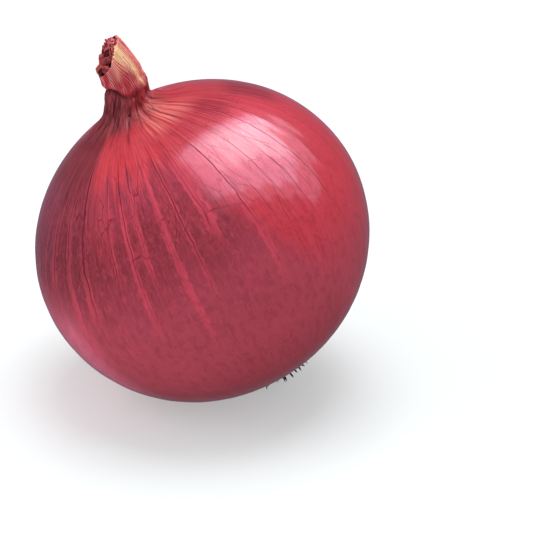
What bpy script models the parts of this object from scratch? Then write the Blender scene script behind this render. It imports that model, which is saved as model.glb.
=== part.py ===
"""A whole red onion, lying at rest on the small flat spot under its bulb.

Metres, +Z up. The origin is on the surface the onion rests on, straight below the middle of the bulb.
The bulb is modelled upright about its own axis and then leans towards -X, the way its neck bends.
"""

import math

import bmesh
import bpy
from mathutils import Matrix, Vector

# Bulb, measured from its widest circle along its own axis
BULB_RADIUS = 0.0418
CROWN_HEIGHT = 0.0381  # widest circle up to where the shoulders would close
BASE_DEPTH = 0.0392  # widest circle down to where the base would close
LEAN = math.radians(28)  # how far the bulb's axis leans from upright
REST_FLAT_DEPTH = 0.0008  # how much of the round is pressed flat where it rests

# Neck, the dry stalk of the outer skin
NECK_LENGTH = 0.0145  # from the crown of the shoulders to the middle of the open end
NECK_OFFSET = 0.0008  # how far the neck leaves the shoulders off the axis, towards +X
NECK_BURIED = 0.0045  # how deep it starts inside the shoulders
NECK_BASE_RADIUS = 0.0066
NECK_WAIST_RADIUS = 0.0053
NECK_TIP_RADIUS = 0.0047
NECK_WAIST_SHARE = 0.35  # where along the neck its waist is
NECK_ROOT_BEND = math.radians(29)  # it first grows upright, so this much back from the lean
NECK_TIP_BEND = math.radians(-5)  # and its tip runs nearly along the bulb's axis again
NECK_KINK_SHARE = (0.28, 0.68)  # where along the neck it bends from one to the other
MOUTH_SLANT = math.radians(29)  # how far the cut end turns from square, towards -X
NECK_WALL = 0.0009  # dry skin around the open end
NECK_MOUTH_DEPTH = 0.0055

# Withered leaf ends that fill the mouth of the neck
LEAF_END_CLEARANCE = 0.0003
LEAF_END_PROUD = 0.0012  # how far the lumps stand out of the mouth
LEAF_END_LUMPS = 5
LEAF_LUMP_RADIUS = 0.0017
LEAF_LUMP_ROUNDS = 2  # how finely a lump is subdivided
LEAF_LUMP_TURN = math.radians(13)  # where the ring of lumps starts

# Root tuft in its dimple at the base
ROOT_PLATE_RADIUS = 0.0066
ROOT_PLATE_HEIGHT = 0.0016
ROOT_DIMPLE_DEPTH = 0.0018
ROOT_CLEARANCE = 0.0003
ROOT_LENGTH = 0.0042
ROOT_RADIUS = 0.00055
ROOT_TIP_SHARE = 0.6  # a root's tip radius over its foot's
ROOT_SIDES = 8
ROOT_RINGS = ((0.30, 5), (0.72, 9))  # share of the plate's radius, roots in that ring
ROOT_SPLAY = math.radians(38)  # how far the outermost roots spread
ROOT_FLOOR_GAP = 0.0010  # roots end this far above the surface

# Smoothness
MERGE_DISTANCE = 0.00001
AROUND = 72
ARC_STEPS = 14
NECK_STEPS = 14
NECK_WALK_STEPS = 24
NECK_SIDES_RESOLUTION = 5

NECK_COLOUR = (0.42, 0.09, 0.07, 1.0)
SKIN_COLOUR = (0.36, 0.035, 0.07, 1.0)
ROOT_COLOUR = (0.12, 0.05, 0.035, 1.0)


def clear_scene():
    for item in list(bpy.data.objects):
        bpy.data.objects.remove(item, do_unlink=True)


def new_collection(name):
    made = bpy.data.collections.new(name)
    bpy.context.scene.collection.children.link(made)
    return made


def new_material(name, colour, roughness):
    material = bpy.data.materials.new(name)
    material.use_nodes = True
    shader = material.node_tree.nodes["Principled BSDF"]
    shader.inputs["Base Color"].default_value = colour
    shader.inputs["Roughness"].default_value = roughness
    shader.inputs["Metallic"].default_value = 0.0
    return material


def new_object(name, data, collection, material=None):
    item = bpy.data.objects.new(name, data)
    collection.objects.link(item)
    if material:
        item.data.materials.append(material)
    return item


def make_helper(item):
    item.hide_render = True
    item.display_type = "WIRE"


def add_boolean(item, other, operation):
    cut = item.modifiers.new(operation.lower() + "_" + other.name, "BOOLEAN")
    cut.operation = operation
    cut.object = other


# ---------------------------------------------------------------- bulb outline


def lower_outline():
    """(radius, height) from the rim of the root dimple out to the widest circle."""
    rim_radius = ROOT_PLATE_RADIUS + ROOT_CLEARANCE
    start = math.asin(rim_radius / BULB_RADIUS)
    points = []
    for step in range(ARC_STEPS + 1):
        angle = start + (math.pi / 2 - start) * step / ARC_STEPS
        points.append((BULB_RADIUS * math.sin(angle), -BASE_DEPTH * math.cos(angle)))
    return points


def upper_outline():
    """(radius, height) from the widest circle over the shoulders to the crown under the neck."""
    points = []
    for step in range(1, ARC_STEPS):
        angle = math.pi / 2 * (1 - step / ARC_STEPS)
        points.append((BULB_RADIUS * math.sin(angle), CROWN_HEIGHT * math.cos(angle)))
    points.append((0, CROWN_HEIGHT))
    return points


def rest_height():
    """Height of the bulb's middle when it leans and its flat spot lies on the surface."""
    lowest = min(
        height * math.cos(LEAN) - radius * math.sin(LEAN)
        for radius, height in lower_outline() + upper_outline()
    )
    return -lowest - REST_FLAT_DEPTH


def turned_mesh(name, outline):
    """An open outline of (radius, height) as edges, for a Screw modifier to turn."""
    shape = bmesh.new()
    corners = [shape.verts.new((radius, 0, height)) for radius, height in outline]
    for first, second in zip(corners, corners[1:]):
        shape.edges.new((first, second))
    mesh = bpy.data.meshes.new(name)
    shape.to_mesh(mesh)
    shape.free()
    return mesh


def add_screw(item):
    turn = item.modifiers.new("turn", "SCREW")
    turn.axis = "Z"
    turn.angle = math.tau
    turn.steps = AROUND
    turn.render_steps = AROUND
    turn.use_merge_vertices = True
    turn.merge_threshold = MERGE_DISTANCE
    turn.use_smooth_shade = True


# ------------------------------------------------------------------------ neck


def neck_turn(along):
    """The neck's angle from the bulb's axis, towards +X, `along` metres from the crown."""
    first, last = NECK_KINK_SHARE
    share = (along / NECK_LENGTH - first) / (last - first)
    share = min(1.0, max(0.0, share))
    eased = share * share * (3 - 2 * share)
    return NECK_ROOT_BEND + (NECK_TIP_BEND - NECK_ROOT_BEND) * eased


def neck_direction(along):
    turn = neck_turn(along)
    return Vector((math.sin(turn), 0, math.cos(turn)))


def neck_middle(along):
    """A point on the neck's middle line, `along` metres from the crown."""
    place = Vector((NECK_OFFSET, 0, CROWN_HEIGHT))
    stride = along / NECK_WALK_STEPS
    for step in range(NECK_WALK_STEPS):
        place += neck_direction(stride * (step + 0.5)) * stride
    return place


def mouth_normal():
    turn = NECK_TIP_BEND - MOUTH_SLANT
    return Vector((math.sin(turn), 0, math.cos(turn)))


def neck_radius(along):
    share = min(1.0, max(0.0, along / NECK_LENGTH))
    if share < NECK_WAIST_SHARE:
        mix = (1 + math.cos(math.pi * share / NECK_WAIST_SHARE)) / 2
        return NECK_WAIST_RADIUS + (NECK_BASE_RADIUS - NECK_WAIST_RADIUS) * mix
    mix = (share - NECK_WAIST_SHARE) / (1 - NECK_WAIST_SHARE)
    return NECK_WAIST_RADIUS + (NECK_TIP_RADIUS - NECK_WAIST_RADIUS) * mix


def tube_along_neck(name, start, end, inset, collection):
    """A closed mesh tube that follows the neck from `start` to `end`, `inset` inside its surface."""
    curve = bpy.data.curves.new(name + "_line", "CURVE")
    curve.dimensions = "3D"
    curve.bevel_depth = 1.0
    curve.bevel_resolution = NECK_SIDES_RESOLUTION
    curve.use_fill_caps = True
    line = curve.splines.new("POLY")
    line.points.add(NECK_STEPS)
    for step, point in enumerate(line.points):
        along = start + (end - start) * step / NECK_STEPS
        point.co = (*neck_middle(along), 1)
        point.radius = neck_radius(along) - inset
    guide = new_object(name + "_guide", curve, collection)
    bpy.context.view_layer.update()
    graph = bpy.context.evaluated_depsgraph_get()
    mesh = bpy.data.meshes.new_from_object(guide.evaluated_get(graph))
    tube = new_object(name, mesh, collection)
    tube.matrix_world = guide.matrix_world
    bpy.data.objects.remove(guide, do_unlink=True)
    weld(mesh)
    return tube


def weld(mesh):
    shape = bmesh.new()
    shape.from_mesh(mesh)
    bmesh.ops.remove_doubles(shape, verts=shape.verts, dist=MERGE_DISTANCE)
    bmesh.ops.recalc_face_normals(shape, faces=shape.faces)
    shape.to_mesh(mesh)
    shape.free()


# ----------------------------------------------------------------------- parts


def build_bulb(parts, helpers, axis, skin):
    """The bulb with its neck, one skin from the root dimple to the open end."""
    dimple_height = lower_outline()[0][1] + ROOT_DIMPLE_DEPTH
    rim_radius = ROOT_PLATE_RADIUS + ROOT_CLEARANCE
    closed_base = [(0, dimple_height), (rim_radius, dimple_height)]
    outline = closed_base + lower_outline() + upper_outline()
    outline.reverse()
    bulb = new_object("bulb", turned_mesh("bulb", outline), parts, skin)
    add_screw(bulb)
    bulb.parent = axis

    past_mouth = mouth_overrun()
    neck = tube_along_neck("neck", -NECK_BURIED, NECK_LENGTH + past_mouth, 0, helpers)
    mouth_start = NECK_LENGTH - NECK_MOUTH_DEPTH
    mouth_end = NECK_LENGTH + past_mouth + NECK_WALL
    mouth = tube_along_neck("mouth", mouth_start, mouth_end, NECK_WALL, helpers)
    for helper in (neck, mouth):
        helper.parent = axis
        make_helper(helper)
    add_boolean(bulb, neck, "UNION")
    add_boolean(bulb, mouth_cutter("neck_end_block", helpers, axis), "DIFFERENCE")
    add_boolean(bulb, mouth, "DIFFERENCE")
    surface = Matrix.Rotation(math.pi, 4, "X")
    add_boolean(bulb, block_beyond("surface_block", surface, helpers), "DIFFERENCE")
    return bulb


def mouth_overrun():
    """A little more than how far past its middle the slanted mouth reaches on the neck's long side."""
    reach = NECK_TIP_RADIUS * math.tan(MOUTH_SLANT)
    return reach + reach / 2 + NECK_WALL


def block_beyond(name, plane, helpers):
    """A block that fills everything on the +Z side of `plane`, near its origin."""
    bpy.ops.mesh.primitive_cube_add(size=1)
    block = bpy.context.active_object
    block.name = name
    size = 4 * BULB_RADIUS
    block.data.transform(Matrix.Translation((0, 0, size / 2)) @ Matrix.Scale(size, 4))
    block.data.transform(plane)
    for collection in list(block.users_collection):
        collection.objects.unlink(block)
    helpers.objects.link(block)
    make_helper(block)
    return block


def mouth_cutter(name, helpers, axis):
    """Everything beyond the slanted mouth of the neck."""
    plane = Matrix.Translation(neck_middle(NECK_LENGTH))
    plane @= mouth_normal().to_track_quat("Z", "Y").to_matrix().to_4x4()
    block = block_beyond(name, plane, helpers)
    block.parent = axis
    return block


def lump(name, place, radius, helpers, axis):
    shape = bmesh.new()
    bmesh.ops.create_icosphere(shape, subdivisions=LEAF_LUMP_ROUNDS, radius=radius)
    mesh = bpy.data.meshes.new(name)
    shape.to_mesh(mesh)
    shape.free()
    made = new_object(name, mesh, helpers)
    made.location = place
    made.parent = axis
    make_helper(made)
    return made


def build_leaf_ends(parts, helpers, axis, dry):
    """The withered leaves' ends: a plug in the mouth with a ring of lumps standing out of it."""
    inset = NECK_WALL + LEAF_END_CLEARANCE
    start = NECK_LENGTH - NECK_MOUTH_DEPTH + LEAF_END_CLEARANCE
    end = NECK_LENGTH + mouth_overrun()
    plug = tube_along_neck("withered_leaf_ends", start, end, inset, parts)
    plug.data.materials.append(dry)
    plug.parent = axis
    add_boolean(plug, mouth_cutter("leaf_end_block", helpers, axis), "DIFFERENCE")
    middle = neck_middle(NECK_LENGTH) + mouth_normal() * (LEAF_END_PROUD - LEAF_LUMP_RADIUS)
    side = Vector((0, 1, 0))
    up = mouth_normal().cross(side)
    ring_radius = neck_radius(NECK_LENGTH) - inset - LEAF_LUMP_RADIUS
    for number in range(LEAF_END_LUMPS):
        angle = LEAF_LUMP_TURN + math.tau * number / LEAF_END_LUMPS
        place = middle + ring_radius * (math.cos(angle) * side + math.sin(angle) * up)
        add_boolean(plug, lump(f"lump_{number}", place, LEAF_LUMP_RADIUS, helpers, axis), "UNION")
    return plug


def root_tip_length(foot, direction, height):
    """ROOT_LENGTH, or less where the root would come too near the surface."""
    turned = Matrix.Rotation(-LEAN, 3, "Y")
    world_foot = turned @ foot
    fall = -(turned @ direction).z
    if fall <= 0:
        return ROOT_LENGTH
    room = height + world_foot.z - ROOT_FLOOR_GAP - ROOT_RADIUS
    return min(ROOT_LENGTH, room / fall)


def root(number, foot, direction, length, helpers, axis):
    tip_radius = ROOT_RADIUS * ROOT_TIP_SHARE
    bpy.ops.mesh.primitive_cone_add(
        vertices=ROOT_SIDES, radius1=ROOT_RADIUS, radius2=tip_radius, depth=1, end_fill_type="NGON"
    )
    stub = bpy.context.active_object
    stub.name = f"root_{number}"
    for collection in list(stub.users_collection):
        collection.objects.unlink(stub)
    helpers.objects.link(stub)
    sunk = ROOT_PLATE_HEIGHT / 2
    stub.data.transform(Matrix.Translation((0, 0, 0.5)))
    stub.data.transform(Matrix.Diagonal((1, 1, length + sunk, 1)))
    stub.data.transform(direction.to_track_quat("Z", "Y").to_matrix().to_4x4())
    stub.data.transform(Matrix.Translation(foot - direction * sunk))
    stub.parent = axis
    make_helper(stub)
    return stub


def build_root_tuft(parts, helpers, axis, brown):
    """The woody root plate in its dimple, with the trimmed roots that grow from it."""
    top = lower_outline()[0][1] + ROOT_DIMPLE_DEPTH - ROOT_CLEARANCE
    bottom = top - ROOT_PLATE_HEIGHT
    outline = [(0, top), (ROOT_PLATE_RADIUS, top), (ROOT_PLATE_RADIUS, bottom), (0, bottom)]
    plate = new_object("root_tuft", turned_mesh("root_tuft", outline), parts, brown)
    add_screw(plate)
    plate.parent = axis
    height = rest_height()
    number = 0
    for share, count in ROOT_RINGS:
        for step in range(count):
            angle = math.tau * (step + share) / count
            around = Vector((math.cos(angle), math.sin(angle), 0))
            foot = around * share * ROOT_PLATE_RADIUS + Vector((0, 0, bottom))
            splay = ROOT_SPLAY * share
            direction = around * math.sin(splay) + Vector((0, 0, -math.cos(splay)))
            length = root_tip_length(foot, direction, height)
            add_boolean(plate, root(number, foot, direction, length, helpers, axis), "UNION")
            number += 1
    return plate


def main():
    clear_scene()
    parts = new_collection("red_onion")
    helpers = new_collection("helpers")
    axis = bpy.data.objects.new("bulb_axis", None)
    parts.objects.link(axis)
    axis.location = (0, 0, rest_height())
    axis.rotation_euler = (0, -LEAN, 0)
    skin = new_material("onion_skin", SKIN_COLOUR, 0.35)
    dry = new_material("withered_leaf", NECK_COLOUR, 0.75)
    brown = new_material("root_brown", ROOT_COLOUR, 0.9)
    build_bulb(parts, helpers, axis, skin)
    build_leaf_ends(parts, helpers, axis, dry)
    build_root_tuft(parts, helpers, axis, brown)


main()
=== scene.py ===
import math
import random

import bmesh
import bpy
import numpy as np
from mathutils import Matrix, Vector


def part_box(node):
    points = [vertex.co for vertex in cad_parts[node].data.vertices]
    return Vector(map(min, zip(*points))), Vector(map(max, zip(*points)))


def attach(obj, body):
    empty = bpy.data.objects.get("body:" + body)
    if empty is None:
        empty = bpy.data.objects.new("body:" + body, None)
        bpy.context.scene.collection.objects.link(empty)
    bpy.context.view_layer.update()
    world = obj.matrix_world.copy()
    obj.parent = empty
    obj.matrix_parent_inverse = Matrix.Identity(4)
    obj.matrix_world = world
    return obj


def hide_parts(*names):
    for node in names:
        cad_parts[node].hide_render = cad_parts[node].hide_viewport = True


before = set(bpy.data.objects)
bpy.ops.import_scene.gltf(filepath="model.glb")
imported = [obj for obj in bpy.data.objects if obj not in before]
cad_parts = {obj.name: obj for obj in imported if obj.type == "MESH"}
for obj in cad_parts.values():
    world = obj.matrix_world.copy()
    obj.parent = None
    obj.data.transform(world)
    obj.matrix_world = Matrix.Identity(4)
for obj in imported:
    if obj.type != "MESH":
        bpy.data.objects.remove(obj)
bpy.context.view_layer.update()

mm = 0.001
bulbLow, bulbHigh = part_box("bulb")

# the bulb's own axis: it leans towards -X, and its widest circle sits at axisHeight
bulb = {
    "lean": math.radians(28),
    "radius": (bulbHigh.y - bulbLow.y) / 2,
    "crownShare": 0.9115,  # widest circle to crown, over the radius
    "baseShare": 0.9378,  # widest circle to base, over the radius
    "pressed": 0.8 * mm,  # how deep the rest spot is pressed flat
}
crown = bulb["radius"] * bulb["crownShare"]
base = bulb["radius"] * bulb["baseShare"]
roundHeight = math.hypot(bulb["radius"] * math.sin(bulb["lean"]), base * math.cos(bulb["lean"]))
axisHeight = roundHeight - bulb["pressed"]
standUp = Matrix.Translation((0, 0, axisHeight)) @ Matrix.Rotation(-bulb["lean"], 4, "Y")


def srgb(red, green, blue):
    channels = []
    for value in (red, green, blue):
        value /= 255
        channels.append(value / 12.92 if value <= 0.04045 else ((value + 0.055) / 1.055) ** 2.4)
    return (*channels, 1.0)


def wander(angle, along, seed, waves=6, most=7, reach=9.0):
    # a sum of waves that closes on itself round the bulb, about -1 to 1
    dice = random.Random(seed)
    total = np.zeros_like(angle + along)
    for _ in range(waves):
        turns = dice.randint(1, most)
        climb = dice.uniform(-reach, reach)
        total = total + np.sin(turns * angle + climb * along + dice.uniform(0, math.tau))
    return total / waves ** 0.5 / 1.2


def ease(low, high, value):
    share = np.clip((value - low) / (high - low), 0, 1)
    return share * share * (3 - 2 * share)


def curveThrough(stations, heights):
    # a smooth curve through (height, value) stations, as slopes that follow the neighbours
    x = np.array([s[0] for s in stations])
    y = np.array([s[1] for s in stations])
    slope = np.gradient(y, x)
    i = np.clip(np.searchsorted(x, heights) - 1, 0, len(x) - 2)
    width = x[i + 1] - x[i]
    t = np.clip((heights - x[i]) / width, 0, 1)
    return (
        (2 * t**3 - 3 * t**2 + 1) * y[i]
        + (t**3 - 2 * t**2 + t) * width * slope[i]
        + (3 * t**2 - 2 * t**3) * y[i + 1]
        + (t**3 - t**2) * width * slope[i + 1]
    )


def newPiece(name, shape, material=None, smooth=True):
    mesh = bpy.data.meshes.new(name)
    shape.to_mesh(mesh)
    shape.free()
    if smooth:
        mesh.shade_smooth()
    piece = bpy.data.objects.new(name, mesh)
    bpy.context.scene.collection.objects.link(piece)
    if material:
        mesh.materials.append(material)
    return piece


def corners(mesh):
    flat = np.empty(len(mesh.vertices) * 3)
    mesh.vertices.foreach_get("co", flat)
    return flat.reshape(-1, 3)


def setCorners(mesh, places):
    mesh.vertices.foreach_set("co", np.ascontiguousarray(places).ravel())
    mesh.update()


def keepNumber(mesh, name, values):
    numbers = np.ascontiguousarray(values, dtype=np.float32)
    mesh.attributes.new(name, "FLOAT", "POINT").data.foreach_set("value", numbers)


def keepVector(mesh, name, values):
    numbers = np.ascontiguousarray(values, dtype=np.float32).ravel()
    mesh.attributes.new(name, "FLOAT_VECTOR", "POINT").data.foreach_set("vector", numbers)


def stood(places):
    # from the upright bulb to how it lies
    turn = np.array(standUp)
    return places @ turn[:3, :3].T + turn[:3, 3]


def closeUp(mesh, distance=0.002 * mm):
    shape = bmesh.new()
    shape.from_mesh(mesh)
    bmesh.ops.remove_doubles(shape, verts=shape.verts, dist=distance)
    bmesh.ops.recalc_face_normals(shape, faces=shape.faces)
    shape.to_mesh(mesh)
    shape.free()


def sleeve(rings, around):
    # an upright sleeve one unit round, with a ring at each whole height
    shape = bmesh.new()
    line = [shape.verts.new((1, 0, step)) for step in range(rings)]
    edges = [shape.edges.new(pair) for pair in zip(line, line[1:])]
    bmesh.ops.spin(
        shape, geom=line + edges, cent=(0, 0, 0), axis=(0, 0, 1), angle=math.tau, steps=around, use_merge=True
    )
    return shape


class Value:
    # a socket that Python's operators work on
    def __init__(self, paint, socket):
        self.paint = paint
        self.socket = socket

    def calc(self, operation, *others):
        return self.paint.node("ShaderNodeMath", {"operation": operation}, [self, *others])

    def __add__(self, other):
        return self.calc("ADD", other)

    def __radd__(self, other):
        return self.calc("ADD", other)

    def __sub__(self, other):
        return self.calc("SUBTRACT", other)

    def __rsub__(self, other):
        return self.paint.node("ShaderNodeMath", {"operation": "SUBTRACT"}, [other, self])

    def __mul__(self, other):
        return self.calc("MULTIPLY", other)

    def __rmul__(self, other):
        return self.calc("MULTIPLY", other)


class Paint:
    # one material's nodes
    def __init__(self, name):
        self.material = bpy.data.materials.new(name)
        self.material.use_nodes = True
        self.tree = self.material.node_tree
        self.shader = self.tree.nodes["Principled BSDF"]

    def node(self, kind, settings=None, sockets=None, output=0):
        made = self.tree.nodes.new(kind)
        for name, setting in (settings or {}).items():
            if name == "stops":
                ramp = made.color_ramp
                while len(ramp.elements) < len(setting):
                    ramp.elements.new(1)
                for element, (place, colour) in zip(ramp.elements, setting):
                    element.position = place
                    element.color = colour
            else:
                setattr(made, name, setting)
        if isinstance(sockets, list):
            sockets = dict(enumerate(sockets))
        for name, value in (sockets or {}).items():
            if isinstance(value, Value):
                self.tree.links.new(value.socket, made.inputs[name])
            else:
                made.inputs[name].default_value = value
        return Value(self, made.outputs[output])

    def stored(self, name, output="Fac"):
        return self.node("ShaderNodeAttribute", {"attribute_name": name}, output=output)

    def parts(self, vector):
        made = self.tree.nodes.new("ShaderNodeSeparateXYZ")
        self.tree.links.new(vector.socket, made.inputs[0])
        return [Value(self, made.outputs[axis]) for axis in range(3)]

    def joined(self, x, y, z):
        return self.node("ShaderNodeCombineXYZ", None, [x, y, z])

    def step(self, value, low, high):
        # 0 at low, 1 at high, eased between
        sockets = {"Value": value, "From Min": low, "From Max": high}
        return self.node("ShaderNodeMapRange", {"interpolation_type": "SMOOTHSTEP"}, sockets)

    def mix(self, share, first, second):
        # sockets 0, 6 and 7 are the share and the two colours, and output 2 is the colour
        return self.node("ShaderNodeMix", {"data_type": "RGBA"}, {0: share, 6: first, 7: second}, output=2)

    def noise(self, vector, scale, detail=3.0, roughness=0.5):
        sockets = {"Vector": vector, "Scale": scale, "Detail": detail, "Roughness": roughness}
        return self.node("ShaderNodeTexNoise", None, sockets, output="Fac")

    def set(self, **sockets):
        for name, value in sockets.items():
            socket = self.shader.inputs[name.replace("_", " ")]
            if isinstance(value, Value):
                self.tree.links.new(value.socket, socket)
            else:
                socket.default_value = value


# skin of the bulb and neck
skin = {
    "around": 576,
    "innerRings": 10,
    "lipRings": 4,
    "neckRings": 60,
    "bulbRings": 76,
    "rootRings": 6,
    "veins": 42,
    # uneven spacing of the veins: turns round the bulb, start, and size in vein spacings
    "veinWaves": [(2, 1.0, 0.30), (5, 2.0, 0.24), (8, 0.5, 0.20), (13, 4.1, 0.12)],
    "swirl": 0.16,  # how far the veins turn on their way down, in radians
    "ribHeight": 0.07 * mm,
    "lobeHeight": 0.30 * mm,
    "wall": 0.45 * mm,
    "mouthDepth": 5.0 * mm,
    "rootRim": 6.9 * mm,
    "dimpleDepth": 1.8 * mm,
    # height above the widest circle, in mm: how wide the neck is there, and how far it stands off the axis
    "neckGirth": [
        (36.5, 12.0), (37.35, 10.1), (38.0, 8.6), (38.7, 7.3), (39.6, 6.5), (41.0, 6.1), (42.5, 5.85),
        (44.0, 5.45), (45.2, 5.0), (46.5, 5.05), (49.0, 4.9), (52.0, 4.6), (57.0, 4.1),
    ],
    "neckDrift": [
        (36.5, 0.0), (37.35, 0.1), (38.0, 0.3), (38.7, 0.6), (39.6, 1.05), (41.0, 1.8), (42.5, 2.6),
        (44.0, 3.1), (45.2, 3.5), (46.5, 3.7), (49.0, 3.75), (52.0, 3.6), (57.0, 3.2),
    ],
    "mouthHeight": 52.9 * mm,
    "mouthSlant": (0.80, 0.42),  # how fast the open end rises towards +X and +Y
    "mouthTop": 2.2 * mm,  # the slant flattens this far above the mouth's middle
    "slantFrom": 42.5 * mm,  # above this height the rings begin to slant with the mouth
    "foot": 36.5 * mm,
    "footGirth": 12.0 * mm,
    "mouthRadius": 4.4 * mm,
    "pleats": 66,
    "pleatTwist": 0.045 / mm,  # how fast they turn as they rise, in radians
    "pleatsUpright": 46 * mm,  # the height where the pleats have not yet turned
    "pleatHeight": 0.20 * mm,
    # how many wrinkles, their start and depth
    "wrinkles": [(7, 0.4, 0.70 * mm), (17, 1.3, 0.45 * mm), (43, 2.2, 0.22 * mm)],
    "creases": 20,  # round the neck's foot
    "creaseDepth": 0.55 * mm,
    "puckers": 38,  # round the root rim
    "puckerHeight": 0.35 * mm,
    # the fold where the upper neck overhangs the lower: its height towards -X, how far it drops towards +X,
    # and the depth and width of the kink and of the overhang above it
    "foldHeight": 45.6 * mm,
    "foldDrop": 3.6 * mm,
    "kink": (0.60 * mm, 0.55 * mm),
    "overhang": (0.30 * mm, 0.90 * mm),
    "overhangAbove": 1.1 * mm,
    # times the vein's number, plus a start: steps that don't fall into a rhythm from vein to vein
    "veinChances": [(0.618034, 0.13), (0.754878, 0.31), (0.569840, 0.77)],
    "netScale": 8.5,
    "hairs": 2.5,  # in each vein spacing
    "bodyColours": [
        (0.00, (186, 56, 66)), (0.09, (196, 60, 70)), (0.18, (190, 60, 74)), (0.30, (170, 62, 80)),
        (0.46, (174, 66, 84)), (0.62, (172, 64, 80)), (0.76, (150, 52, 66)), (0.93, (128, 44, 52)),
        (1.00, (140, 78, 62)),
    ],
}


def veinPlace(turned, sine):
    place = turned * (skin["veins"] / math.tau)
    for turns, start, size in skin["veinWaves"]:
        place = place + sine(turned * turns + start) * size
    return place


def neckRidges(angle, height):
    # wrinkles that run up the neck: a few deep ones and many fine ones, with sharp valleys
    drift = 0.19 * wander(angle, height / (9 * mm), 11) + 0.08 * wander(angle, height / (3 * mm), 12, most=16)
    return [np.abs(np.sin(count / 2 * (angle + drift) + start)) for count, start, _ in skin["wrinkles"]]


def pleatRidge(angle, height):
    # fine pleats of the upper neck, which lean over as they rise
    drift = 0.05 * wander(angle, height / (7 * mm), 14, most=12, reach=4)
    turned = angle + drift + skin["pleatTwist"] * (height - skin["pleatsUpright"])
    size = 0.65 + 0.35 * wander(angle, height / (9 * mm), 15, most=20, reach=3)
    return np.abs(np.sin(skin["pleats"] / 2 * turned)) * np.clip(size, 0.2, 1.2)


def shoulderCreases(angle, down):
    # short creases that run from the neck's foot onto the shoulder, sunk into the skin and painted dark with
    # shade
    bend = angle + 0.10 * wander(angle, angle * 0, 51, most=6) + 0.5 * down
    reach = 0.035 + 0.035 * wander(bend, angle * 0, 52, most=9)
    sharp = (1 - np.abs(np.sin(skin["creases"] / 2 * bend))) ** 7
    sharp = sharp * (0.35 + 0.65 * ease(-0.8, 0.1, np.cos(angle)))
    return sharp * (1 - ease(0.35 * np.maximum(reach, 0.01), np.maximum(reach, 0.012), down))


def mouthRim(angle):
    slantX, slantY = skin["mouthSlant"]
    rise = skin["mouthRadius"] * (slantX * np.cos(angle) + slantY * np.sin(angle))
    top = skin["mouthTop"]
    rise = np.where(rise > 0, top * np.tanh(rise / top), rise)
    ragged = 0.20 * wander(angle, angle * 0, 5, most=13) + 0.10 * wander(angle, angle * 0, 6, most=40)
    return skin["mouthHeight"] + rise + ragged * mm


def skinProfile(angle, ring):
    # distance from the axis, height, and down: 0 at the neck's foot, 1 at the root rim, below 0 up the neck
    cfg = skin
    radius, wall, mouth = bulb["radius"], cfg["wall"], cfg["mouthHeight"]
    rad, height, down = np.zeros((3, len(ring)))
    rim = mouthRim(angle)
    # inside of the mouth: its floor is the first quarter, and its wall the rest
    start = cfg["innerRings"]
    part = ring < start
    t = ring[part] / (start - 1)
    height[part] = rim[part] - cfg["mouthDepth"] * (1 - np.clip((t - 0.25) / 0.75, 0, 1))
    bore = curveThrough(cfg["neckGirth"], height[part] / mm) * mm - wall * 1.6
    rad[part] = bore * np.clip(t / 0.25, 0, 1)
    down[part] = -1.6
    # lip, a round edge
    part = (ring >= start) & (ring < start + cfg["lipRings"])
    turn = math.pi * (1 - (ring[part] - start + 1) / (cfg["lipRings"] + 1))
    girth = curveThrough(cfg["neckGirth"], rim[part] / mm) * mm
    rad[part] = girth - wall * 0.8 + wall * 0.8 * np.cos(turn)
    height[part] = rim[part] + wall * 0.5 * np.sin(turn)
    down[part] = -1.5
    # neck, from the lip to its foot
    start += cfg["lipRings"]
    part = (ring >= start) & (ring < start + cfg["neckRings"])
    t = (ring[part] - start) / cfg["neckRings"]
    middle = mouth + (cfg["foot"] - mouth) * t**0.92
    height[part] = middle + ease(cfg["slantFrom"], mouth, middle) * (rim[part] - mouth)
    rad[part] = curveThrough(cfg["neckGirth"], height[part] / mm) * mm
    down[part] = -1.5 * (1 - t)
    # bulb, from the foot over the widest circle to the root rim
    start += cfg["neckRings"]
    part = (ring >= start) & (ring < start + cfg["bulbRings"])
    t = (ring[part] - start) / (cfg["bulbRings"] - 1)
    first = math.asin(cfg["footGirth"] / radius)
    last = math.pi - math.asin(cfg["rootRim"] / radius)
    tilt = first + (last - first) * t
    rad[part] = radius * np.sin(tilt)
    height[part] = np.where(tilt < math.pi / 2, crown, base) * np.cos(tilt)
    down[part] = t
    # root dimple
    start += cfg["bulbRings"]
    part = ring >= start
    t = (ring[part] - start + 1) / cfg["rootRings"]
    rad[part] = cfg["rootRim"] * np.where(t < 0.4, 1 - 0.06 * t, np.clip((1 - t) / 0.6, 0, 1))
    height[part] = base * math.cos(last) + cfg["dimpleDepth"] * np.clip(t / 0.4, 0, 1)
    down[part] = 1 + 0.1 * t
    return rad, height, down


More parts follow.
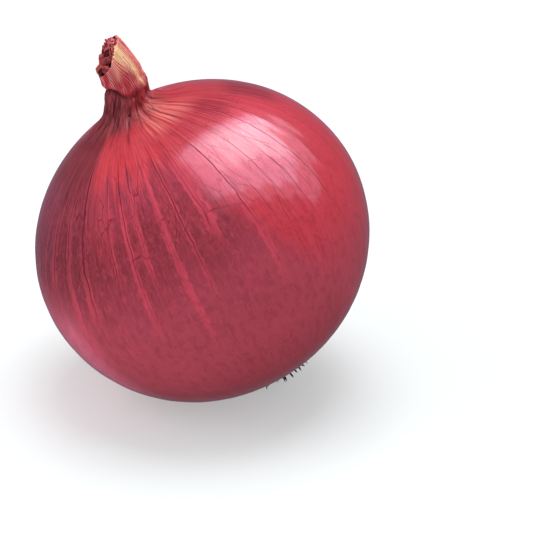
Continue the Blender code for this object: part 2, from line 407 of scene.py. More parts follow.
def skinRelief(angle, outer, rad, height, down):
    # the distance from the axis with its ribs, wrinkles and fold, then how much shade to paint in its
    # creases,
    #     # how pleated each place is and how far above the fold
    cfg = skin
    meanRidge = 0.64  # about the mean height of a ridge, so that wrinkles don't change the girth
    # ribs between the veins, and soft lobes
    veins = veinPlace(angle + cfg["swirl"] * np.clip(down, 0, 1), np.sin)
    spread = ease(0.02, 0.3, down) * (1 - ease(0.86, 1.0, down))
    rad = rad + cfg["ribHeight"] * np.cos(math.tau * veins) * spread * 0.5
    lobes = wander(angle, down, 21, most=5, reach=4) * ease(0.0, 0.35, down) * (1 - ease(0.7, 1.0, down))
    rad = rad + cfg["lobeHeight"] * lobes
    # wrinkles of the neck, which die out over the shoulders
    ridges = neckRidges(angle, height)
    up = np.clip(1 - ease(-0.14, 0.10, down), 0, 1)
    tight = ease(-0.9, -0.35, down) * (1 - ease(-0.15, 0.10, down))
    wrinkle = sum(depth * (ridge - meanRidge) for ridge, (_, _, depth) in zip(ridges, cfg["wrinkles"]))
    rad = rad + np.where(outer, wrinkle * (0.30 + 0.70 * tight) * up**2 * 0.9, wrinkle * 0.3)
    topNeck = 1 - ease(-0.85, -0.60, down)
    pleat = pleatRidge(angle, height)
    rad = rad + cfg["pleatHeight"] * (pleat - 0.5) * topNeck * outer
    creases = shoulderCreases(angle, down) * ease(-0.5, -0.1, down)
    rad = rad - cfg["creaseDepth"] * creases
    pucker = np.abs(np.sin(cfg["puckers"] / 2 * angle + wander(angle, down, 31))) - meanRidge
    rad = rad + cfg["puckerHeight"] * ease(0.86, 1.0, down) * pucker * (down <= 1)
    # the fold where the upper neck overhangs the lower
    kink = cfg["foldHeight"] - cfg["foldDrop"] * ease(-1.5, 0.6, np.cos(angle)) ** 2
    kink = kink + 0.5 * mm * wander(angle, angle * 0, 41)
    (kinkDepth, kinkWidth), (overDepth, overWidth) = cfg["kink"], cfg["overhang"]
    nearKink = np.exp(-(((height - kink) / kinkWidth) ** 2)) * outer
    overhang = np.exp(-(((height - kink - cfg["overhangAbove"]) / overWidth) ** 2)) * outer
    side = 0.35 + 0.65 * ease(-0.6, 0.5, -np.cos(angle))
    rad = rad - kinkDepth * nearKink * side + overDepth * overhang * side

    # how much shade to paint: in the wrinkle valleys, at the kink under the overhang and in the shoulder
    # creases
    shoulder = ease(-0.16, -0.02, down) * ease(0.1, 0.8, -np.cos(angle))
    valleys = [(1 - ridge) ** 2 for ridge in ridges]
    crease = (0.55 * valleys[0] + 0.45 * valleys[1]) * up**1.5 * (0.15 + 0.85 * tight) * (1 - 0.55 * shoulder)
    crease = crease + 0.9 * nearKink * side + 1.1 * creases
    return rad, crease, pleat * topNeck, (height - kink) / mm


def buildSkin(material):
    cfg = skin
    rings = sum(cfg[part] for part in ("innerRings", "lipRings", "neckRings", "bulbRings", "rootRings"))
    piece = newPiece("onionSkin", sleeve(rings, cfg["around"]), material)
    mesh = piece.data
    places = corners(mesh)
    angle = np.arctan2(places[:, 1], places[:, 0])
    ring = np.rint(places[:, 2]).astype(int)
    rad, height, down = skinProfile(angle, ring)
    rad, crease, pleat, overFold = skinRelief(angle, ring >= cfg["innerRings"], rad, height, down)
    onNeck = (height > cfg["foot"]) & (down < 0.02)
    drift = np.where(onNeck, curveThrough(cfg["neckDrift"], height / mm) * mm, 0)
    placed = stood(np.stack([rad * np.cos(angle) + drift, rad * np.sin(angle), height], 1))
    placed[:, 2] = np.maximum(placed[:, 2], 0)  # pressed flat where it rests
    setCorners(mesh, placed)
    keepVector(mesh, "skinPlace", np.stack([np.cos(angle), np.sin(angle), down], 1))
    keepNumber(mesh, "girth", rad / bulb["radius"])
    keepNumber(mesh, "crease", np.clip(crease, 0, 1))
    keepNumber(mesh, "pleat", pleat)
    keepNumber(mesh, "overFold", overFold)
    # marks the inside of the mouth, which gets painted shade
    keepNumber(mesh, "inside", (ring < cfg["innerRings"] + 1).astype(float))
    closeUp(mesh)
    print("skin", len(mesh.polygons), "faces")
    return piece


class SkinMap:
    # where a point of the skin is, and the vein that is nearest to it
    def __init__(self, paint):
        self.paint = paint
        self.cosine, self.sine, self.down = paint.parts(paint.stored("skinPlace", "Vector"))
        self.girth = paint.stored("girth")
        self.angle = paint.node("ShaderNodeMath", {"operation": "ARCTAN2"}, [self.sine, self.cosine])
        bulbDown = paint.node("ShaderNodeClamp", None, {"Value": self.down})
        turned = self.angle + bulbDown * skin["swirl"]
        self.across, self.beside = turned.calc("COSINE"), turned.calc("SINE")
        # place in vein spacings, and three chances of the nearest vein's own, 0 to 1
        self.line = veinPlace(turned, lambda value: value.calc("SINE"))
        self.nearest = (self.line + 0.5).calc("FLOOR")
        number = self.nearest.calc("FLOORED_MODULO", skin["veins"])
        self.chances = [(number * times + start).calc("FRACT") for times, start in skin["veinChances"]]
        self.spacing = self.girth * (math.tau * bulb["radius"] / skin["veins"] / mm)  # mm from vein to vein
        self.patchy = self.grain(5, 7)
        self.ragged = self.grain(46, 60, 4, 0.6) - 0.5
        veinAt = (self.chances[0] - 0.5) * 0.30 + (self.grain(7, 12, 3) - 0.5) * 0.34
        self.off = self.line - self.nearest - veinAt
        self.far = self.off.calc("ABSOLUTE")

    def grain(self, around, lengthwise, detail=3.0, roughness=0.5):
        # noise whose patches measure 1/around of the bulb's radius across and 1/lengthwise of its height
        spot = self.paint.joined(self.across * around, self.beside * around, self.down * lengthwise)
        return self.paint.noise(spot, 1.0, detail, roughness)

    def facing(self, degrees, low, high, falling=0.0):
        # 0 to 1 as the side of the bulb turns towards an angle, later further down if falling
        aim = math.radians(degrees)
        towards = self.cosine * math.cos(aim) + self.sine * math.sin(aim)
        return self.paint.step(towards - self.down * falling, low, high)

    def belt(self, begin, full, fade, end):
        # 1 in a belt round the bulb, from how far down it begins to where it ends
        return self.paint.step(self.down, begin, full) * (1 - self.paint.step(self.down, fade, end))


def veinLines(at):
    paint, down = at.paint, at.down
    chanceA, chanceB, chanceC = at.chances
    vein = 1 - paint.step(at.far * at.spacing, 0.03, 0.16 + chanceB * 0.09)
    veinZone = paint.step(down, 0.03, 0.12) * (1 - paint.step(down + at.patchy * 0.3, 0.44, 0.66))
    vein = vein * veinZone * (0.25 + 0.75 * paint.step(at.patchy + chanceC * 0.35, 0.48, 0.75))
    # a side vein that leaves its vein and reaches the next spacing
    forkAt = 0.08 + chanceC * 0.26
    fork = paint.step(down, forkAt, forkAt + 0.09)
    sideways = (chanceB - 0.5).calc("SIGN") * 0.55
    sideVein = 1 - paint.step((at.off - sideways * fork).calc("ABSOLUTE") * at.spacing, 0.03, 0.16)
    sideVein = sideVein * paint.step(down, forkAt - 0.01, forkAt + 0.02) * paint.step(chanceA, 0.3, 0.4)
    sideVein = sideVein * (1 - paint.step(down, forkAt + 0.10, forkAt + 0.22))
    return vein.calc("MAXIMUM", sideVein * 0.6)


def crossNet(at):
    # net of fine cross veins: mm to the nearest one, and where the net shows
    paint, down = at.paint, at.down
    bentBy = at.grain(11, 16, 2) - 0.5
    netSpot = paint.joined(at.across + bentBy * 0.12, at.beside + bentBy * 0.12, down * 1.1 + bentBy * 0.07)
    net = paint.node(
        "ShaderNodeTexVoronoi",
        {"feature": "DISTANCE_TO_EDGE"},
        {"Vector": netSpot, "Scale": skin["netScale"]},
        output="Distance",
    )
    netFar = net * at.girth * (bulb["radius"] / skin["netScale"] / mm)
    netZone = paint.step(down, 0.08, 0.13) * (1 - paint.step(down + at.patchy * 0.2, 0.34, 0.50))
    return netFar, netZone * paint.step(at.grain(7, 9, 2), 0.36, 0.56)


def hairLines(at):
    # hair lines between the veins
    paint, hairs = at.paint, skin["hairs"]
    hairAt = at.line * hairs + (at.grain(9, 10, 2) - 0.5) * 0.9
    hairFar = (hairAt - (hairAt + 0.5).calc("FLOOR")).calc("ABSOLUTE") * at.spacing * (1 / hairs)
    hair = (1 - paint.step(hairFar, 0.02, 0.13)) * paint.step(at.grain(12, 5, 2), 0.44, 0.60)
    return hair * at.belt(0.03, 0.09, 0.36, 0.50)


def lightBands(at):
    # light crimson on both sides of a vein, in the zone below the crown
    paint = at.paint
    chanceA, chanceB, chanceC = at.chances
    begin = 0.09 + chanceC * 0.06
    finish = 0.36 + chanceA * 0.24
    halfWidth = 0.08 + chanceB * 0.12
    bandFar = (at.off + (chanceC - 0.5) * 0.16).calc("ABSOLUTE") + at.ragged * 0.30
    band = 1 - paint.step(bandFar, halfWidth * 0.75, halfWidth * 1.2)
    band = band * (1 - paint.step((at.line - at.nearest).calc("ABSOLUTE"), 0.40, 0.5))
    downRagged = at.down + at.ragged * 0.10
    band = band * paint.step(downRagged, begin, begin + 0.06)
    band = band * (1 - paint.step(downRagged, finish - 0.12, finish + 0.02))
    return band * (0.40 + 0.60 * paint.step(at.patchy + chanceB * 0.3, 0.46, 0.72))


def lightStreaks(at, streak, blotch):
    paint = at.paint
    streaky = paint.step(streak + (blotch - 0.5), 0.52, 0.72) * paint.step(at.down, 0.10, 0.2)
    return streaky * (1 - paint.step(at.down + at.ragged * 0.10, 0.48, 0.62))


def darkCells(at, mottle, lit, shade):
    # the dark mottled cells between the veins, left out on the lit side, where light is painted, and fainter
    # in the painted shade
    paint, down = at.paint, at.down
    cellTop = 0.075 + at.chances[0] * 0.05 + (at.grain(14, 15, 3) - 0.5) * 0.12 + at.far * at.far * 0.14
    cell = paint.step(down, cellTop, cellTop + 0.045) * (1 - paint.step(down + at.patchy * 0.15, 0.36, 0.56))
    return cell * (0.50 + 0.50 * paint.step(mottle, 0.42, 0.58)) * (1 - lit * 0.95) * (1 - shade * 0.6)


def bodyColour(at, lit, shade):
    # the broad colours from the crown to the root, with painted light: the lit side brighter, painted shade
    # on the left, and painted sheen and light along the left edge
    paint, down = at.paint, at.down
    broad = at.grain(1.6, 1.5, 2) - 0.5
    stops = [(place, srgb(*colour)) for place, colour in skin["bodyColours"]]
    body = paint.node("ShaderNodeValToRGB", {"stops": stops}, {"Fac": down - lit * 0.10 + broad * 0.10})
    colour = paint.mix(lit * at.belt(0.1, 0.2, 0.42, 0.66), body, srgb(200, 58, 72))
    colour = paint.mix(shade * 0.90, colour, srgb(100, 38, 48))
    # painted sheen: a purple-grey reflection along the left edge
    paintedLeftSheen = at.facing(-172, 0.80, 0.97) * at.belt(0.06, 0.14, 0.26, 0.40)
    colour = paint.mix(paintedLeftSheen * 0.55, colour, srgb(104, 60, 86))
    # painted light: a lighter pink along the lower left edge, as from the left lamp and the floor's
    # reflection
    paintedLowerLeftLight = at.facing(-158, 0.86, 0.98) * at.belt(0.32, 0.46, 0.60, 0.78)
    return paint.mix(paintedLowerLeftLight * 0.90, colour, srgb(222, 106, 134))


def crownLines(at):
    # fine dark lines on the crown, thickest in one patch
    crownSide = at.facing(5, 0.2, 0.6) * at.belt(0.01, 0.05, 0.13, 0.20)
    patch = at.facing(11, 0.955, 0.992) * at.belt(0.10, 0.14, 0.20, 0.25)
    smallPatch = at.facing(-21, 0.965, 0.992) * at.belt(0.04, 0.08, 0.11, 0.15)
    fineLine = at.paint.step(at.grain(70, 3, 3, 0.6), 0.42, 0.60)
    return fineLine * (crownSide * 0.24 + smallPatch * 0.38 + patch * 0.62) + patch * 0.28


def neckColour(at):
    # dark and wrinkled below the fold, coral above it, with painted highlights on the pleat ridges and
    # painted shade in the furrows
    paint, down = at.paint, at.down
    pleat = paint.stored("pleat")
    topNeck = paint.step(paint.stored("overFold") + (at.grain(8, 3) - 0.5) * 1.2, -0.2, 0.7)
    cloudy = at.grain(13, 4, 4, 0.6)
    lowNeck = paint.mix(paint.step(cloudy, 0.38, 0.62), srgb(106, 44, 50), srgb(156, 66, 72))
    lowNeck = paint.mix(at.facing(-20, 0.3, 0.95) * 0.6, lowNeck, srgb(186, 56, 58))
    highNeck = paint.mix(paint.step(cloudy, 0.36, 0.64), srgb(168, 54, 66), srgb(206, 82, 90))
    creamSide = (at.angle + math.radians(47) - (down + 1.3) * 0.50).calc("ABSOLUTE") + (down + 1.4) * 0.34
    cream = (1 - paint.step(creamSide, 0.16, 0.42)) * paint.step(at.grain(30, 3, 3), 0.34, 0.50)
    blush = at.facing(-66, 0.72, 0.97) * (1 - paint.step(down, -1.30, -1.0))
    highNeck = paint.mix(blush * 0.60, highNeck, srgb(244, 158, 132))
    rightSide = at.facing(-8, 0.66, 0.95) * (0.35 + 0.6 * paint.step(at.grain(30, 2, 3), 0.40, 0.60))
    highNeck = paint.mix(rightSide, highNeck, srgb(246, 150, 136))
    highNeck = paint.mix(cream * 0.96, highNeck, srgb(255, 218, 162))
    nearRim = 1 - paint.step(down, -1.30, -1.02)
    # painted highlight on the pleat ridges
    ridgeHighlight = 0.20 + nearRim * 0.45 + at.facing(-112, 0.70, 0.96) * 0.14
    highNeck = paint.mix(paint.step(pleat, 0.46, 0.90) * ridgeHighlight, highNeck, srgb(248, 184, 176))
    # painted shade in the furrows between the pleats
    furrowShade = (1 - paint.step(pleat, 0.05, 0.42)) * (0.66 - cream * 0.40)
    highNeck = paint.mix(furrowShade, highNeck, srgb(140, 36, 46))
    return paint.mix(topNeck, lowNeck, highNeck)


def paintSkin():
    paint = Paint("drySkin")
    at = SkinMap(paint)
    down = at.down
    streak = at.grain(34, 3.2, 4, 0.6)
    blotch = at.grain(30, 44, 5, 0.68)
    mottle = at.grain(26, 42, 6, 0.70)
    speck = at.grain(74, 110, 3, 0.6)
    fineFibre = at.grain(95, 5, 3, 0.6)
    # painted light and shade: lit is the side towards the lamps, painted brighter, and shade is the left side
    # away from them, painted darker
    lit = at.facing(5, 0.02, 0.20, falling=0.9)
    shade = at.facing(-160, 0.70, 0.82) * (1 - paint.step(down, 0.22, 0.46))

    netFar, netZone = crossNet(at)
    netLine = (1 - paint.step(netFar, 0.02, 0.13)) * netZone
    lines = veinLines(at).calc("MAXIMUM", netLine * (0.62 - lit * 0.25))
    lines = lines.calc("MAXIMUM", hairLines(at) * (0.22 + lit * 0.36))
    netGlow = (1 - paint.step(netFar + at.ragged * 0.9, 0.15, 0.95)) * netZone
    light = lightBands(at).calc("MAXIMUM", lightStreaks(at, streak, blotch) * 0.40)
    light = light.calc("MAXIMUM", netGlow * 0.50) * (1 - shade * 0.6)

    colour = bodyColour(at, lit, shade)
    lowCell = paint.step(down + (blotch - 0.5) * 0.2, 0.19, 0.27)
    cellColour = paint.mix(lowCell, srgb(120, 48, 66), srgb(108, 38, 46))
    colour = paint.mix(darkCells(at, mottle, lit, shade) * 0.85, colour, cellColour)
    colour = paint.mix(light * (0.85 - lit * 0.6), colour, srgb(208, 72, 92))
    speckle = paint.step(blotch + (speck - 0.5) * 0.9, 0.50, 0.66) * at.belt(0.09, 0.16, 0.40, 0.55)
    colour = paint.mix(speckle * (0.26 - lit * 0.12), colour, srgb(190, 78, 102))
    # fibres, broad ones near the poles and fine ones where the bulb is wide
    wide = paint.step(at.girth, 0.4, 0.7)
    fibre = streak + (fineFibre - streak) * wide
    colour = paint.mix(paint.step(fibre, 0.38, 0.70) * 0.13, colour, srgb(214, 84, 104))
    colour = paint.mix(paint.step(mottle, 0.55, 0.36) * 0.20, colour, srgb(80, 14, 30))
    crownFibre = paint.step(fineFibre, 0.48, 0.66) * at.belt(0.0, 0.03, 0.12, 0.24)
    colour = paint.mix(crownFibre * 0.26, colour, srgb(228, 108, 118))
    colour = paint.mix(crownLines(at), colour, srgb(104, 26, 46))
    colour = paint.mix(lines * 0.84, colour, srgb(76, 10, 26))
    # painted sheen: a purple-pink rim where the skin is seen edge-on
    edgeOn = paint.node("ShaderNodeLayerWeight", None, {"Blend": 0.5}, output="Facing")
    colour = paint.mix(paint.step(edgeOn, 0.72, 0.98) * 0.42, colour, srgb(186, 120, 152))

    upNeck = 1 - paint.step(down + (streak - 0.5) * 0.25, -0.16, 0.04)
    colour = paint.mix(upNeck, colour, neckColour(at))
    # painted highlight: pale peach streaks that fan out from the neck's foot
    peachHighlight = at.facing(-44, 0.80, 0.95) * at.belt(-0.30, -0.10, 0.025, 0.08)
    peachHighlight = peachHighlight * paint.step(at.grain(26, 2.5, 2), 0.36, 0.64)
    colour = paint.mix(peachHighlight * 0.58, colour, srgb(238, 146, 136))
    # painted shade in the creases, in the wrinkle valleys and under the fold
    colour = paint.mix(paint.stored("crease") * 0.75, colour, srgb(60, 18, 22))
    # painted shade deep inside the mouth
    colour = paint.mix(paint.stored("inside") * 0.8, colour, srgb(60, 20, 16))

    rough = 0.30 + 0.08 * fineFibre + 0.25 * upNeck
    heightMap = 0 - lines * 0.4 + fineFibre * wide * 0.18 + mottle * 0.2
    normal = paint.node("ShaderNodeBump", None, {"Strength": 0.3, "Distance": 0.10 * mm, "Height": heightMap})
    gloss = (1 - lines * 0.9) * (0.75 + 0.5 * (mottle - 0.5)) * (0.12 + 0.88 * paint.step(down, -0.02, 0.10))
    paint.set(Base_Color=colour, Roughness=rough, Normal=normal, Coat_Weight=gloss)
    paint.set(IOR=1.45, Specular_IOR_Level=0.05, Coat_Roughness=0.14, Coat_IOR=1.3)
    paint.set(Sheen_Weight=0.07, Sheen_Roughness=0.30, Sheen_Tint=(0.80, 0.34, 0.62, 1))
    return paint.material


# withered leaf ends in the mouth
leafEnds = {
    "sheetGirths": (0.80, 0.58, 0.36),  # inner leaves, as shares of the mouth's width
    "around": 168,
    "rings": 16,
    "sheetDepth": 4.6 * mm,
    "wall": 0.18 * mm,
    # curled tongues: place along the mouth's slope, across it and out of it, roll radius and length, in mm,
    # then the way they point and lean, in degrees
    "tongues": [
        (-4.1, -0.9, 0.1, 1.40, 2.7, 75, 5), (-3.1, -2.5, -0.3, 1.00, 2.2, 30, 35),
        (-2.5, 1.6, 0.0, 1.15, 2.4, 120, -20), (-1.6, -0.9, 0.0, 1.20, 2.6, 85, 25),
        (0.1, 1.5, -0.1, 1.10, 2.2, 40, -15), (-0.2, -2.5, -0.4, 0.85, 1.8, 100, 40),
        (0.9, -0.3, 0.0, 1.15, 2.5, 65, 20), (2.3, 1.2, -0.4, 0.95, 2.0, 130, -10),
        (2.3, -1.3, -0.4, 0.85, 1.8, 30, 30),
    ],
    "rollSteps": 34,
    "lengthSteps": 18,
    "rollTurns": 1.35,
}


def mouthFrame():
    # upright frame at the mouth's middle: along its slope, across it and out of it
    slantX, slantY = skin["mouthSlant"]
    height = skin["mouthHeight"]
    middle = Vector((float(curveThrough(skin["neckDrift"], height / mm)) * mm, 0, height))
    out = Vector((-slantX, -slantY, 1)).normalized()
    rise = Vector((1, 0, slantX)).normalized()
    return Matrix.Translation(middle) @ Matrix((rise, out.cross(rise), out)).transposed().to_4x4()


def innerLeaf(number, share):
    # a sleeve inside the neck with a wavy, torn end
    cfg = leafEnds
    piece = newPiece(f"innerLeaf{number}", sleeve(cfg["rings"], cfg["around"]))
    places = corners(piece.data)
    angle = np.arctan2(places[:, 1], places[:, 0])
    up = places[:, 2] / (cfg["rings"] - 1)
    wave = wander(angle, 0.4 * up, 60 + number, most=6, reach=2)
    torn = wander(angle, angle * 0, 70 + number, most=17)
    height = mouthRim(angle) + (0.25 * number - 0.1) * mm + 0.40 * mm * torn - cfg["sheetDepth"] * (1 - up)
    rad = curveThrough(skin["neckGirth"], height / mm) * mm * share * (1 + (0.10 + 0.08 * up) * wave)
    rad = rad + 0.10 * mm * np.sin(31 * angle + 5 * wave) * up
    drift = curveThrough(skin["neckDrift"], height / mm) * mm
    setCorners(piece.data, stood(np.stack([rad * np.cos(angle) + drift, rad * np.sin(angle), height], 1)))
    keepNumber(piece.data, "edge", ease(0.75, 1.0, up))
    # sunk marks how far down in the neck the leaf is, for painted shade
    keepNumber(piece.data, "sunk", 1 - ease(0.45, 0.9, up))
    return piece


def tongue(number, setting, middle):
    # one dry tongue: a sheet rolled round itself, ragged at its ends
    cfg = leafEnds
    alongSlope, acrossIt, proud, rollRadius, length, pointing, leaning = setting
    shape = bmesh.new()
    bmesh.ops.create_grid(shape, x_segments=cfg["rollSteps"], y_segments=cfg["lengthSteps"], size=0.5)
    piece = newPiece(f"tongue{number}", shape)
    places = corners(piece.data)
    roll, far = places[:, 0] + 0.5, places[:, 1]
    turn = math.tau * cfg["rollTurns"] * roll + number
    crumple = wander(turn, 7 * far, 80 + number, most=5, reach=2.5)
    rad = rollRadius * mm * (0.38 + 0.62 * roll) * (1 + 0.11 * crumple) * np.sqrt(1.06 - 3.4 * far**2)
    rad = rad + 0.05 * mm * np.sin(46 * roll + 9 * crumple)
    reach = length * mm * (far + 0.07 * wander(turn, far, 90 + number, most=6))
    rolled = np.stack([rad * np.cos(turn), reach, rad * np.sin(turn)], 1)
    turnIt = Matrix.Rotation(math.radians(pointing), 4, "Z") @ Matrix.Rotation(math.radians(leaning), 4, "X")
    place = np.array(middle @ Matrix.Translation(Vector((alongSlope, acrossIt, proud)) * mm) @ turnIt)
    setCorners(piece.data, stood(rolled @ place[:3, :3].T + place[:3, 3]))
    keepNumber(piece.data, "edge", np.maximum(ease(0.40, 0.5, np.abs(far)), ease(0.93, 1.0, roll)))
    # sunk marks the inner turns of the roll, for painted shade
    keepNumber(piece.data, "sunk", 1 - ease(0.25, 0.75, roll))
    return piece


def joinPieces(name, pieces, material):
    # one mesh from several, with their stored numbers
    shape = bmesh.new()
    for piece in pieces:
        shape.from_mesh(piece.data)
        bpy.data.objects.remove(piece)
    return newPiece(name, shape, material)


def giveWall(piece, thickness):
    wall = piece.modifiers.new("wall", "SOLIDIFY")
    wall.thickness = thickness
    wall.offset = 0
    wall.use_even_offset = False


def buildLeafEnds(material):
    middle = mouthFrame()
    pieces = [innerLeaf(number, share) for number, share in enumerate(leafEnds["sheetGirths"])]
    pieces += [tongue(number, setting, middle) for number, setting in enumerate(leafEnds["tongues"])]
    piece = joinPieces("leafEnds", pieces, material)
    giveWall(piece, leafEnds["wall"])
    print("leaf ends", len(piece.data.polygons), "faces")
    return piece


def paintLeafEnds():
    paint = Paint("witheredLeaf")
    spot = paint.node("ShaderNodeTexCoord", output="Object")
    edge = paint.stored("edge")
    sunk = paint.stored("sunk")
    patch = paint.noise(spot, 620.0, 4.0, 0.6)
    fleck = paint.noise(spot, 2300.0, 3.0, 0.6)
    colour = paint.mix(paint.step(patch, 0.36, 0.60), srgb(104, 28, 34), srgb(170, 52, 58))
    colour = paint.mix(paint.step(fleck, 0.50, 0.66) * 0.28, colour, srgb(214, 104, 98))
    colour = paint.mix(edge * 0.5, colour, srgb(222, 104, 98))
    # painted shade down in the neck and in the rolled hollows
    colour = paint.mix(sunk * 0.75, colour, srgb(54, 16, 20))
    bump = {"Strength": 0.4, "Distance": 0.08 * mm, "Height": fleck + patch}
    normal = paint.node("ShaderNodeBump", None, bump)
    paint.set(Base_Color=colour, Roughness=0.5 + 0.2 * patch, Normal=normal, Specular_IOR_Level=0.3)
    return paint.material


# root plate and dry roots
roots = {
    "plateRadius": 6.3 * mm,
    "plateAround": 96,
    "plateRings": 22,
    "plateBulge": 1.5 * mm,
    # rings of roots: how far out, as a share of the plate, and how many
    "rings": [(0.30, 7), (0.52, 11), (0.74, 15), (0.90, 18)],
    "length": (2.6 * mm, 4.8 * mm),
    "thick": (0.28 * mm, 0.46 * mm),
    "sides": 6,
    "steps": 7,
    "splay": 44,
    "overFloor": 1.05 * mm,
    "seed": 404,
    "plateLift": 0.55 * mm,  # the plate's edge above the skin's root rim
    "sunk": 0.4 * mm,  # how deep a root starts in the plate
}


def rimHeight():
    return base * math.cos(math.pi - math.asin(skin["rootRim"] / bulb["radius"])) + roots["plateLift"]


def rootPlate():
    # a domed, ringed and bumpy plate in the dimple
    cfg = roots
    plate = newPiece("plate", sleeve(cfg["plateRings"], cfg["plateAround"]))
    places = corners(plate.data)
    angle = np.arctan2(places[:, 1], places[:, 0])
    out = places[:, 2] / (cfg["plateRings"] - 1)
    bumps = wander(angle, 9 * out, 33, most=12, reach=3) + 0.6 * wander(angle, 21 * out, 34, most=25, reach=3)
    rad = cfg["plateRadius"] * out * (1 + 0.02 * wander(angle, angle * 0, 35, most=12))
    rings = 0.10 * mm * np.sin(24 * out)
    height = rimHeight() - cfg["plateBulge"] * np.sqrt(np.clip(1 - out**2, 0, 1))
    height = height + (0.13 * mm * bumps + rings) * ease(0.0, 0.15, out) * (1 - ease(0.93, 1.0, out))
    setCorners(plate.data, stood(np.stack([rad * np.cos(angle), rad * np.sin(angle), height], 1)))
    keepNumber(plate.data, "tip", np.zeros(len(out)))
    closeUp(plate.data)
    return plate


def dryRoot(dice, share, number, count):
    # one curled stub, tapering to a point, on the ring that is this share of the plate out
    cfg = roots
    around = math.tau * (number + dice.uniform(-0.3, 0.3)) / count
    away = cfg["plateRadius"] * share * dice.uniform(0.93, 1.07)
    length, thick = dice.uniform(*cfg["length"]), dice.uniform(*cfg["thick"])
    splay = math.radians(cfg["splay"]) * share * dice.uniform(0.6, 1.3)
    curl, curlWay = dice.uniform(0.2, 0.9), dice.uniform(0, math.tau)
    root = newPiece("root", sleeve(cfg["steps"], cfg["sides"]))
    places = corners(root.data)
    turn = np.arctan2(places[:, 1], places[:, 0])
    along = places[:, 2] / (cfg["steps"] - 1)
    girth = thick * (1 - 0.62 * along) * (1 + 0.25 * np.sin(7 * along + number))
    girth = girth * (along < 0.999)
    bend = curl * length * 0.35 * along**2
    sideX = girth * np.cos(turn) + bend * math.cos(curlWay)
    sideY = girth * np.sin(turn) + bend * math.sin(curlWay)
    grown = np.stack([sideX, sideY, -length * along + cfg["sunk"]], 1)
    place = Matrix.Rotation(around, 4, "Z") @ Matrix.Translation((away, 0, 0))
    lean = np.array(place @ Matrix.Rotation(-splay, 4, "Y"))
    foot = rimHeight() - cfg["plateBulge"] * math.sqrt(max(1 - share**2, 0))
    grown = stood(grown @ lean[:3, :3].T + lean[:3, 3] + np.array([0, 0, foot]))
    grown[:, 2] = np.maximum(grown[:, 2], cfg["overFloor"] + 0.3 * girth)
    setCorners(root.data, grown)
    keepNumber(root.data, "tip", along)
    closeUp(root.data)
    return root


def buildRoots(material):
    dice = random.Random(roots["seed"])
    pieces = [rootPlate()]
    for share, count in roots["rings"]:
        pieces += [dryRoot(dice, share, number, count) for number in range(count)]
    piece = joinPieces("rootTuft", pieces, material)
    print("roots", len(piece.data.polygons), "faces")
    return piece


def paintRoots():
    paint = Paint("rootBrown")
    spot = paint.node("ShaderNodeTexCoord", output="Object")
    tip = paint.stored("tip")
    patch = paint.noise(spot, 480.0, 4.0, 0.6)
    fleck = paint.noise(spot, 1900.0, 3.0, 0.6)
    colour = paint.mix(paint.step(patch, 0.36, 0.64), srgb(70, 40, 38), srgb(142, 100, 74))
    colour = paint.mix(paint.step(tip, 0.02, 0.35) * 0.8, colour, srgb(52, 26, 34))
    colour = paint.mix(paint.step(fleck, 0.5, 0.7) * 0.4, colour, srgb(168, 120, 96))
    bump = {"Strength": 0.5, "Distance": 0.12 * mm, "Height": fleck + patch}
    normal = paint.node("ShaderNodeBump", None, bump)
    paint.set(Base_Color=colour, Roughness=0.75 + 0.15 * patch, Normal=normal)
    return paint.material


# floor, light and camera
studio = {
    "elevation": math.radians(25),
    "distance": 0.6,
    "lens": 162.0,
    "asideRight": 16.8 * mm,  # the view's middle is this far right of the bulb's and this far below it
    "asideDown": 7.85 * mm,
    "roomFill": 0.62,  # how bright the white room is in diffuse light, and in the skin's gloss
    "roomGloss": 0.10,
    # name, place from the bulb's middle, and power
    "softboxes": [("keySoftbox", (0.06, 0.12, 0.92), 5.6), ("leftFill", (-0.72, -0.22, 0.48), 1.5)],
    "softboxSize": 0.6,
    "floorRadius": 6.0,
    "floorColour": (0.56, 0.60, 0.605, 1),
    "floorGlow": (0.965, 0.995, 1.0, 1),  # lifts the lit floor to white, so that only the shadow shows
    "floorGlowStrength": 0.38,
    "mirrored": {
        "aim": (0.525, 0.02, 0.859),  # from the bulb's middle to the panels' plane
        "distance": 0.35,
        "corner": (-0.43, 0.03),
        "turn": 40.0,  # degrees, in their plane
        "step": 3 * mm,  # from each panel's plane to the next
        # name, place from the corner, size, brightness and tint
        "panels": [
            ("coolPanel", (0.0, 0.04), (0.42, 0.36), 9.5, (0.68, 0.72, 1.0)),
            ("coolPanelFade", (0.02, 0.06), (0.53, 0.40), 4.0, (0.80, 0.80, 1.0)),
            ("brightPanel", (0.11, 0.08), (0.33, 0.20), 7.0, (0.98, 1.0, 0.98)),
            ("brightPanelCore", (0.17, 0.11), (0.18, 0.14), 7.0, (0.98, 1.0, 0.94)),
        ],
    },
}


def addFloor():
    paint = Paint("paperFloor")
    paint.set(Base_Color=studio["floorColour"], Roughness=1.0, Specular_IOR_Level=0.0)
    paint.set(Emission_Color=studio["floorGlow"], Emission_Strength=studio["floorGlowStrength"])
    shape = bmesh.new()
    bmesh.ops.create_circle(shape, cap_ends=True, segments=96, radius=studio["floorRadius"])
    floor = newPiece("floor", shape, paint.material, smooth=False)
    floor.visible_glossy = False


def addPanel(name, wide, deep, power, place):
    lamp = bpy.data.lights.new(name, "AREA")
    lamp.shape = "RECTANGLE"
    lamp.size, lamp.size_y = wide, deep
    lamp.energy = power
    panel = bpy.data.objects.new(name, lamp)
    bpy.context.scene.collection.objects.link(panel)
    panel.matrix_world = place
    panel.visible_camera = False
    return panel


def addSoftboxes():
    # soft light on the skin that its gloss doesn't mirror
    size = studio["softboxSize"]
    for name, away, power in studio["softboxes"]:
        away = Vector(away)
        place = Matrix.Translation(away + Vector((0, 0, axisHeight)))
        place = place @ away.to_track_quat("Z", "Y").to_matrix().to_4x4()
        addPanel(name, size, size, power, place).visible_glossy = False


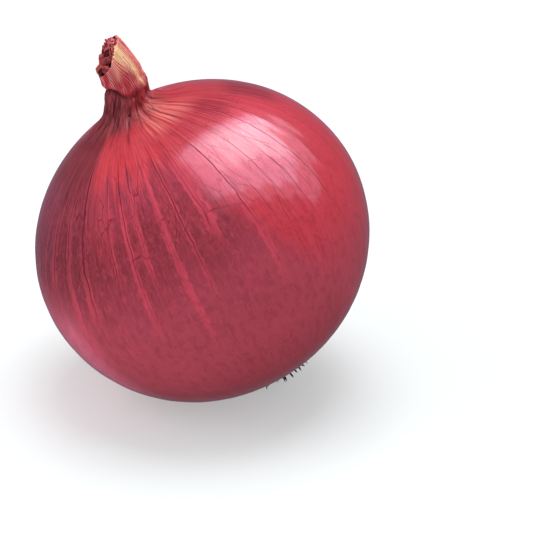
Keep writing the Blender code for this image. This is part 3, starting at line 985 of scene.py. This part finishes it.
def addHighlight():
    # overhead panels that the skin mirrors, laid side by side in one slanted plane from a shared corner
    look = studio["mirrored"]
    aim = Vector(look["aim"]).normalized()
    right = (Vector((1, 0, 0)) - aim * aim.x).normalized()
    plane = Matrix.Translation(aim * look["distance"] + Vector((0, 0, axisHeight)))
    plane = plane @ Matrix((right, aim.cross(right), aim)).transposed().to_4x4()
    plane = plane @ Matrix.Translation((*look["corner"], 0))
    plane = plane @ Matrix.Rotation(math.radians(look["turn"]), 4, "Z")
    for number, (name, (along, beside), (wide, deep), level, tint) in enumerate(look["panels"]):
        place = plane @ Matrix.Translation((along + wide / 2, -beside - deep / 2, look["step"] * number))
        panel = addPanel(name, wide, deep, level * math.pi * wide * deep, place)
        panel.data.color = tint
        panel.visible_diffuse = False


def addRoom():
    # a white room, dimmer in the skin's gloss than to the eye
    world = bpy.data.worlds.new("studioRoom")
    bpy.context.scene.world = world
    world.use_nodes = True
    tree = world.node_tree
    path = tree.nodes.new("ShaderNodeLightPath")
    inGloss = tree.nodes.new("ShaderNodeMix")
    inGloss.inputs["A"].default_value = studio["roomFill"]
    inGloss.inputs["B"].default_value = studio["roomGloss"]
    tree.links.new(path.outputs["Is Glossy Ray"], inGloss.inputs["Factor"])
    seen = tree.nodes.new("ShaderNodeMix")
    seen.inputs["B"].default_value = 1.0
    tree.links.new(inGloss.outputs["Result"], seen.inputs["A"])
    tree.links.new(path.outputs["Is Camera Ray"], seen.inputs["Factor"])
    background = tree.nodes["Background"]
    background.inputs["Color"].default_value = (1, 1, 1, 1)
    tree.links.new(seen.outputs["Result"], background.inputs["Strength"])
    bpy.context.scene.view_settings.view_transform = "Standard"


def addCamera():
    look = studio
    toCamera = Vector((0, -math.cos(look["elevation"]), math.sin(look["elevation"])))
    upInView = Vector((0, math.sin(look["elevation"]), math.cos(look["elevation"])))
    target = Vector((look["asideRight"], 0, axisHeight)) - upInView * look["asideDown"]
    lens = bpy.data.cameras.new("camera")
    lens.lens = look["lens"]
    lens.sensor_width = 36
    camera = bpy.data.objects.new("camera", lens)
    bpy.context.scene.collection.objects.link(camera)
    camera.location = target + toCamera * look["distance"]
    camera.rotation_euler = (-toCamera).to_track_quat("-Z", "Y").to_euler()
    bpy.context.scene.camera = camera


onionSkin = buildSkin(paintSkin())
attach(onionSkin, "root")
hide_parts("bulb")

leafTips = buildLeafEnds(paintLeafEnds())
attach(leafTips, "root")
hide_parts("withered_leaf_ends")

rootTuft = buildRoots(paintRoots())
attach(rootTuft, "root")
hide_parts("root_tuft")

addFloor()
addSoftboxes()
addHighlight()
addRoom()
addCamera()
print("floor, lights and camera in place")
